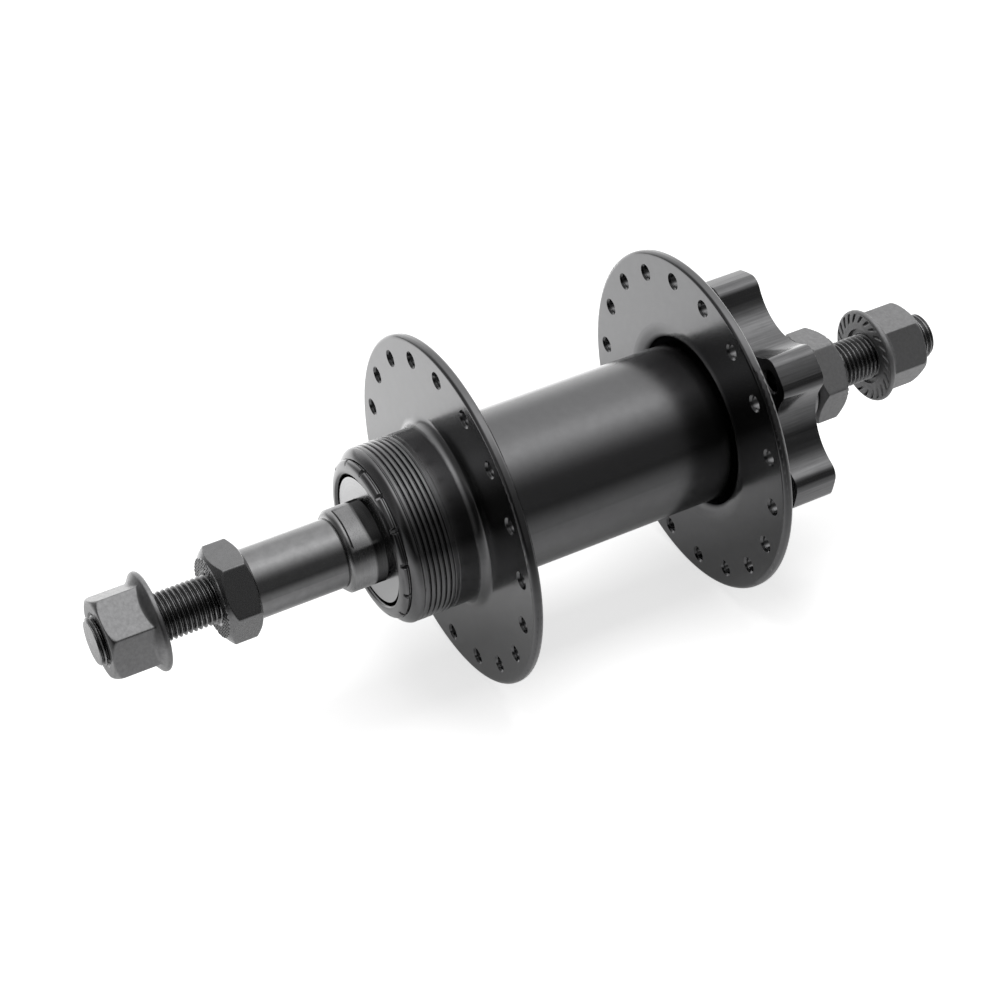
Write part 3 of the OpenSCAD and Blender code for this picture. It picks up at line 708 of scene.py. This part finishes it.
# The band that takes the place of thread and bevel. Its radius is the least of
# (crest - depth * V(y / pitch + t / full turn + phase)) and the rounding
# (seat + (crest - seat) * sin(quarter turn * share of the rounding's length) ^ power)
def makeBossBand(start, end, seat):
    boss = bossThread
    roundEnd = start + boss["roundLength"]
    rows = round((boss["length"] - boss["roundLength"]) / boss["pitch"] * boss["stepsPerTurn"])
    rootShare = np.linspace(boss["roundStart"], 1, boss["roundRows"], endpoint=False)
    rounding = boss["roundLength"] * rootShare ** 2
    along = np.concatenate([start + rounding, np.linspace(roundEnd, end - boss["rimGap"], rows)])[:, None]
    turn = fullTurn(boss["stepsRound"])
    phase = along / boss["pitch"] + turn / (2 * np.pi) + boss["phase"]
    groove = threadShape(phase, boss["crestShare"], boss["rootShare"])
    deeper = ramp(along, start + boss["deeperFrom"], start + boss["deeperTo"])
    fading = 1 - ramp(along, end - boss["runOut"], end)
    crest = boss["radius"] - boss["depth"] * groove * deeper * fading
    share = np.clip((along - start) / boss["roundLength"], 0, 1)
    inner = seat + boss["seatGap"]
    rounded = inner + (boss["radius"] - inner) * np.sin(share * np.pi / 2) ** boss["roundPower"]
    return aroundAxle(np.minimum(crest, rounded), along, turn)


# Corner normals of a mesh, three numbers for each corner in one row
def cornerNormals(mesh):
    normals = np.empty(len(mesh.loops) * 3, dtype=np.float32)
    mesh.corner_normals.foreach_get("vector", normals)
    return normals


# The drive flange is a merged copy of the CAD mesh. Its smooth band at the thread's radius, the bevel
# beside it and the narrow end face come out, and the new band is stitched to the two rims left open.
def makeThreadedFlange():
    boss = bossThread
    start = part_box("drive_flange")[0].y
    end = start + boss["length"]
    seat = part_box("drive_dust_cap")[1].x
    mesh = copyMesh("drive_flange", "threadedDriveFlange")
    kept = mesh.attributes.new("cadNormal", "FLOAT_VECTOR", "CORNER")
    kept.data.foreach_set("vector", cornerNormals(nodes["drive_flange"].data))
    shell = mergedShell(mesh)

    # Whether a vertex lies on the band, its bevel or the end face
    def onBoss(vertex):
        reach, along = math.hypot(vertex.co.x, vertex.co.z), vertex.co.y
        bevelled = boss["radius"] - max(0, start + boss["bevel"] - along)
        onBand = abs(reach - bevelled) < boss["tolerance"] and along < end + boss["tolerance"]
        onFace = along < start + boss["tolerance"] and reach > seat - boss["tolerance"]
        return onFace or onBand

    old = [face for face in shell.faces if all(onBoss(vertex) for vertex in face.verts)]
    bmesh.ops.delete(shell, geom=old, context="FACES")
    rims = {"start": set(), "end": set()}
    for edge in shell.edges:
        if edge.is_boundary:
            for vertex in edge.verts:
                rims["start" if vertex.co.y < start + boss["tolerance"] else "end"].add(vertex)
    grid = makeBossBand(start, end, seat).tolist()
    bandRows = [[shell.verts.new(point) for point in row] for row in grid]
    for lower, upper in zip(bandRows, bandRows[1:]):
        for k in range(len(lower)):
            after = (k + 1) % len(lower)
            shell.faces.new((lower[k], lower[after], upper[after], upper[k])).smooth = True
    stitchRings(shell, rims["start"], bandRows[0])
    stitchRings(shell, bandRows[-1], rims["end"])
    print("thread rims:", len(rims["start"]), len(rims["end"]),
          "open edges left:", sum(edge.is_boundary for edge in shell.edges))
    bmesh.ops.recalc_face_normals(shell, faces=shell.faces)
    shell.to_mesh(mesh)
    shell.free()
    return mesh


# Gives corners that come from the CAD mesh their normals back; new corners keep their own
def restoreNormals(mesh):
    stored = np.empty(len(mesh.loops) * 3, dtype=np.float32)
    mesh.attributes["cadNormal"].data.foreach_get("vector", stored)
    mesh.attributes.remove(mesh.attributes["cadNormal"])
    stored, own = stored.reshape(-1, 3), cornerNormals(mesh).reshape(-1, 3)
    known = np.linalg.norm(stored, axis=1) > 0.5    # a new corner's stored normal is zero
    own[known] = stored[known]
    mesh.normals_split_custom_set(own.tolist())


piece = finishPiece("threadedDriveFlange", makeThreadedFlange(), bossThread["sharpAngle"])
restoreNormals(piece.data)
piece.data.materials.clear()
standFor(piece, "drive_flange")
print("drive flange:", len(piece.data.polygons), "faces")


# Dust cap on the drive side

dustCap = {
    "skirtWall": 1 * mm,
    "seam": 0.18 * mm,            # width of the gap between the cap's side and the hub
    "seamDepth": 0.27 * mm,       # below the hub's face
    "seamEdge": 0.018 * mm,       # height of the bevel at the gap's foot
    "lipWidth": 2.65 * mm,
    "sideStart": 0.25 * mm,       # the side's first row above the hub's face
    "sideHeight": 0.5 * mm,       # straight side of the lip, above the hub's face
    "mouthRound": 0.6 * mm,
    "notches": 14,
    "notchTurn": 11.2,            # degrees from +X to the first notch
    "notchWidth": 1.1 * mm,
    "notchEdge": 0.25 * mm,
    "notchDepth": 0.85 * mm,
    "crownRows": 12,
    "stepsRound": 840,
    "sharpAngle": 32,
}


# The cap's closed section, carried round the axle: skirt, side, crown of two quarter ellipses, mouth and
# the lip's back. The notches cut the side and the outer part of the crown:
# radius = least of (section, rim - depth * share), share = slope from the notch's edge, clipped.
def makeDustCap():
    low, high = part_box("drive_dust_cap")
    cap, rim, face = dustCap, high.x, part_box("drive_flange")[0].y
    tall, back = face - low.y, face - high.y
    mouth, inside, side = rim - cap["lipWidth"], rim - cap["skirtWall"], rim - cap["seam"]
    top = mouth + cap["mouthRound"]
    turn = fullTurn(cap["stepsRound"])
    pitch = 2 * np.pi / cap["notches"]
    away = np.abs((turn - math.radians(cap["notchTurn"]) + pitch / 2) % pitch - pitch / 2) * rim
    share = np.clip((cap["notchWidth"] / 2 - away) / cap["notchEdge"], 0, 1)
    quarter = np.linspace(0, np.pi / 2, cap["crownRows"])
    mouthQuarter = quarter[1::2]
    outerHeight = cap["sideHeight"] + (tall - cap["sideHeight"]) * np.sin(quarter)
    outerRadius = top + (rim - top) * np.cos(quarter)
    innerHeight = tall - cap["mouthRound"] * (1 - np.cos(mouthQuarter))
    innerRadius = top - cap["mouthRound"] * np.sin(mouthQuarter)
    foot = -cap["seamDepth"]
    seamHeight = [back, back, foot - cap["seamEdge"], foot, cap["sideStart"]]
    seamRadius = [inside, rim, rim, side, side]
    height = np.concatenate([seamHeight, outerHeight, innerHeight, [0.0, 0.0]])[:, None]
    radius = np.concatenate([seamRadius, outerRadius, innerRadius, [mouth, inside]])[:, None]
    limit = np.where(height >= 0, rim - cap["notchDepth"] * share, rim)
    return aroundAxle(np.minimum(radius, limit), face - height, turn)


mesh = meshFromGrid("notchedDustCap", makeDustCap(), looped=True)
piece = finishPiece("notchedDustCap", mesh, dustCap["sharpAngle"])
standFor(piece, "drive_dust_cap")
print("dust cap:", len(piece.data.polygons), "faces")


# Spanner flats on the drive side cone

coneFlat = {
    "turn": 68.7,                 # degrees from +X to the flat that the camera sees
    "wallY": -37.5 * mm,          # the CAD's square wall at the flats' inner end
    "fromMiddle": 6.55 * mm,
    "lean": 0.45,                 # how far the cutter's end wall leans over, for each unit of its height
    "tolerance": 0.02 * mm,
    "sharpAngle": 30,
}


# A copy of the CAD mesh whose wall at the flats' inner end leans away, as a round cutter leaves it:
# y + lean * (distance from the axle's middle plane along the flat's normal - the flat's distance)
def makeDriveCone():
    mesh = copyMesh("drive_cone", "flattedDriveCone")
    shell = mergedShell(mesh)
    turn = math.radians(coneFlat["turn"])
    moved = 0
    for vertex in shell.verts:
        height = abs(vertex.co.x * math.cos(turn) + vertex.co.z * math.sin(turn)) - coneFlat["fromMiddle"]
        if abs(vertex.co.y - coneFlat["wallY"]) < coneFlat["tolerance"] and height > 0:
            vertex.co.y += coneFlat["lean"] * height
            moved += 1
    print("cone wall vertices:", moved, "open edges:", sum(edge.is_boundary for edge in shell.edges))
    shell.to_mesh(mesh)
    shell.free()
    mesh.materials.clear()
    return mesh


piece = finishPiece("flattedDriveCone", makeDriveCone(), coneFlat["sharpAngle"])
standFor(piece, "drive_cone")
print("drive cone:", len(piece.data.polygons), "faces")


# Studio, light and camera

studio = {
    "floorHeight": -35 * mm,
    "floorReach": 1.6,
    "floorAlbedo": 0.8,
    "floorGlow": 0.65,            # added where the camera sees the floor, so that it turns white
    "floorShade": 0.92,           # part of the mirrored floor that takes the hub's own shadow
    "fullLight": 1.25,            # light on the open floor, which makes mirrored levels true
    "skyLight": 0.45,             # level of the sky for soft, unmirrored light
    # off the freewheel end, mirrored sky and floor are darker: the share that is left, and between which
    # y of the direction, or of the place on the floor, it goes back to full
    "endwaysSky": 0.18,
    "endwaysSkyFade": (-0.62, -0.22),
    "endwaysFloor": 0.35,
    "endwaysFloorFade": (-160 * mm, -120 * mm),
    # what polished metal mirrors, by the angle round the axle in degrees from +X over the top
    "mirroredSky": [(-180, 2.0), (-90, 1.0), (-8, 0.2), (30, 0.2), (44, 0.55), (60, 1.5), (78, 2.9),
                    (90, 2.7), (103, 2.1), (143, 1.7), (163, 2.15), (180, 2.15)],
    # the floor as polished metal mirrors it, by its place across the axle in millimetres
    "mirroredFloor": [(-220, 2.75), (-85, 2.65), (-60, 1.7), (-30, 1.0), (0, 1.8), (25, 1.65), (60, 1.0),
                      (140, 0.5), (300, 0.2)],
}

topLamp = {"place": (-0.1, 0.03, 0.9), "towards": (0, 0, 0), "size": 0.7, "watts": 5.5, "mirrored": False}

# The camera fitted to the photo: its axes in the part's frame, and its place in metres
photoView = {
    "sensor": 36,
    "lens": 88.08,
    "clip": (0.01, 20),
    "right": (0.47183, 0.87816, -0.07879),
    "up": (-0.47254, 0.32731, 0.81829),
    "back": (0.74438, -0.34885, 0.56939),
    "place": (0.34854, -0.17106, 0.26463),
}


# Grey levels as a ramp over a value: places between the first and the last stop, levels up to the
# highest, which the result is multiplied by because a ramp's own colours end at 1
def greyRamp(tree, value, stops, unit):
    low, high = stops[0][0], stops[-1][0]
    top = max(level for place, level in stops)
    node = addNode(tree, "ShaderNodeValToRGB", Fac=mapRange(tree, value, low * unit, high * unit, 0.0, 1.0))
    elements = node.color_ramp.elements
    while len(elements) < len(stops):
        elements.new(1.0)
    for element, (place, level) in zip(elements, stops):
        element.position = (place - low) / (high - low)
        element.color = (level / top, level / top, level / top, 1)
    return maths(tree, "MULTIPLY", node.outputs["Color"], top)


# The sky: level = 1 where the camera sees it, the mirrored bands for mirrored rays, where
# angle = atan2(z, x), and else the soft light's level
def makeWorld():
    world = bpy.data.worlds.new("softStudio")
    bpy.context.scene.world = world
    world.use_nodes = True
    world.cycles.sampling_method = "NONE"
    tree = world.node_tree
    tree.nodes.clear()
    direction = addNode(tree, "ShaderNodeTexCoord").outputs["Generated"]
    axes = addNode(tree, "ShaderNodeSeparateXYZ", Vector=direction)
    angle = maths(tree, "ARCTAN2", axes.outputs[2], axes.outputs[0])
    bands = greyRamp(tree, angle, studio["mirroredSky"], math.radians(1))
    endways = mapRange(tree, axes.outputs[1], *studio["endwaysSkyFade"], studio["endwaysSky"], 1.0)
    mirrored = maths(tree, "MULTIPLY", bands, endways)
    path = addNode(tree, "ShaderNodeLightPath")
    level = mapRange(tree, path.outputs["Is Glossy Ray"], 0.0, 1.0, studio["skyLight"], mirrored)
    seen = maths(tree, "MAXIMUM", path.outputs["Is Camera Ray"], path.outputs["Is Transmission Ray"])
    level = mapRange(tree, seen, 0.0, 1.0, level, 1.0)
    background = addNode(tree, "ShaderNodeBackground", Strength=level)
    output = addNode(tree, "ShaderNodeOutputWorld")
    tree.links.new(background.outputs[0], output.inputs["Surface"])


# The floor's material. Seen: pale and rough, with a glow. Mirrored: level = bands across the axle, of
# which floorShade is a rough surface that takes the hub's shadow, level * floorShade / fullLight, and
# the rest glows, level * (1 - floorShade).
def makeFloorMaterial():
    material, tree, shader = newMaterial("paleFloor")
    tree.nodes.remove(shader)
    place = addNode(tree, "ShaderNodeTexCoord").outputs["Object"]
    axes = addNode(tree, "ShaderNodeSeparateXYZ", Vector=place)
    bands = greyRamp(tree, axes.outputs[0], studio["mirroredFloor"], mm)
    path = addNode(tree, "ShaderNodeLightPath")
    pale = addNode(tree, "ShaderNodeBsdfDiffuse", Color=(studio["floorAlbedo"],) * 3 + (1,))
    glow = addNode(tree, "ShaderNodeEmission",
                   Strength=maths(tree, "MULTIPLY", path.outputs["Is Camera Ray"], studio["floorGlow"]))
    seen = addNode(tree, "ShaderNodeAddShader", i0=pale.outputs[0], i1=glow.outputs[0])
    endways = mapRange(tree, axes.outputs[1], *studio["endwaysFloorFade"], studio["endwaysFloor"], 1.0)
    level = maths(tree, "MULTIPLY", bands, endways)
    shaded = maths(tree, "MULTIPLY", level, studio["floorShade"] / studio["fullLight"])
    lit = addNode(tree, "ShaderNodeBsdfDiffuse", Color=shaded)
    bright = addNode(tree, "ShaderNodeEmission",
                     Strength=maths(tree, "MULTIPLY", level, 1 - studio["floorShade"]))
    mirrored = addNode(tree, "ShaderNodeAddShader", i0=lit.outputs[0], i1=bright.outputs[0])
    mix = addNode(tree, "ShaderNodeMixShader", i0=path.outputs["Is Glossy Ray"], i1=seen.outputs[0],
                  i2=mirrored.outputs[0])
    tree.links.new(mix.outputs[0], tree.nodes["Material Output"].inputs["Surface"])
    return material


# A level square of four quads under the hub
def makeFloor():
    reach, height = studio["floorReach"], studio["floorHeight"]
    side = np.linspace(-reach, reach, 3)
    x, y = np.meshgrid(side, side, indexing="ij")
    points = np.stack([x, y, np.full_like(x, height)], axis=-1).reshape(-1, 3)
    quads = [(i * 3 + j, (i + 1) * 3 + j, (i + 1) * 3 + j + 1, i * 3 + j + 1)
             for i in range(2) for j in range(2)]
    mesh = bpy.data.meshes.new("floor")
    mesh.from_pydata(points.tolist(), [], quads)
    mesh.materials.append(makeFloorMaterial())
    floor = bpy.data.objects.new("floor", mesh)
    bpy.context.scene.collection.objects.link(floor)


# Puts an object at a place, turned so that its own axes point right, up and back
def placeObject(thing, right, up, back, place):
    rows = [[right[k], up[k], back[k], place[k]] for k in range(3)] + [[0, 0, 0, 1]]
    thing.matrix_world = Matrix(rows)
    bpy.context.scene.collection.objects.link(thing)


# A square soft lamp, turned to face a point: back = place - point, right = y axis x back
def addLamp(name, lamp):
    light = bpy.data.lights.new(name, "AREA")
    light.size = lamp["size"]
    light.energy = lamp["watts"]
    holder = bpy.data.objects.new(name, light)
    holder.visible_glossy = lamp["mirrored"]
    back = np.array(lamp["place"]) - np.array(lamp["towards"], dtype=float)
    back /= np.linalg.norm(back)
    right = np.cross((0.0, 1.0, 0.0), back)
    right /= np.linalg.norm(right)
    placeObject(holder, right, np.cross(back, right), back, lamp["place"])


# The scene's camera, with the photo's view
def makeCamera():
    view = bpy.data.cameras.new("photoView")
    view.sensor_width = photoView["sensor"]
    view.lens = photoView["lens"]
    view.clip_start, view.clip_end = photoView["clip"]
    camera = bpy.data.objects.new("photoView", view)
    placeObject(camera, photoView["right"], photoView["up"], photoView["back"], photoView["place"])
    bpy.context.scene.camera = camera


makeWorld()
makeFloor()
addLamp("topLamp", topLamp)
makeCamera()
bpy.context.scene.view_settings.view_transform = "Standard"
print("studio ready")
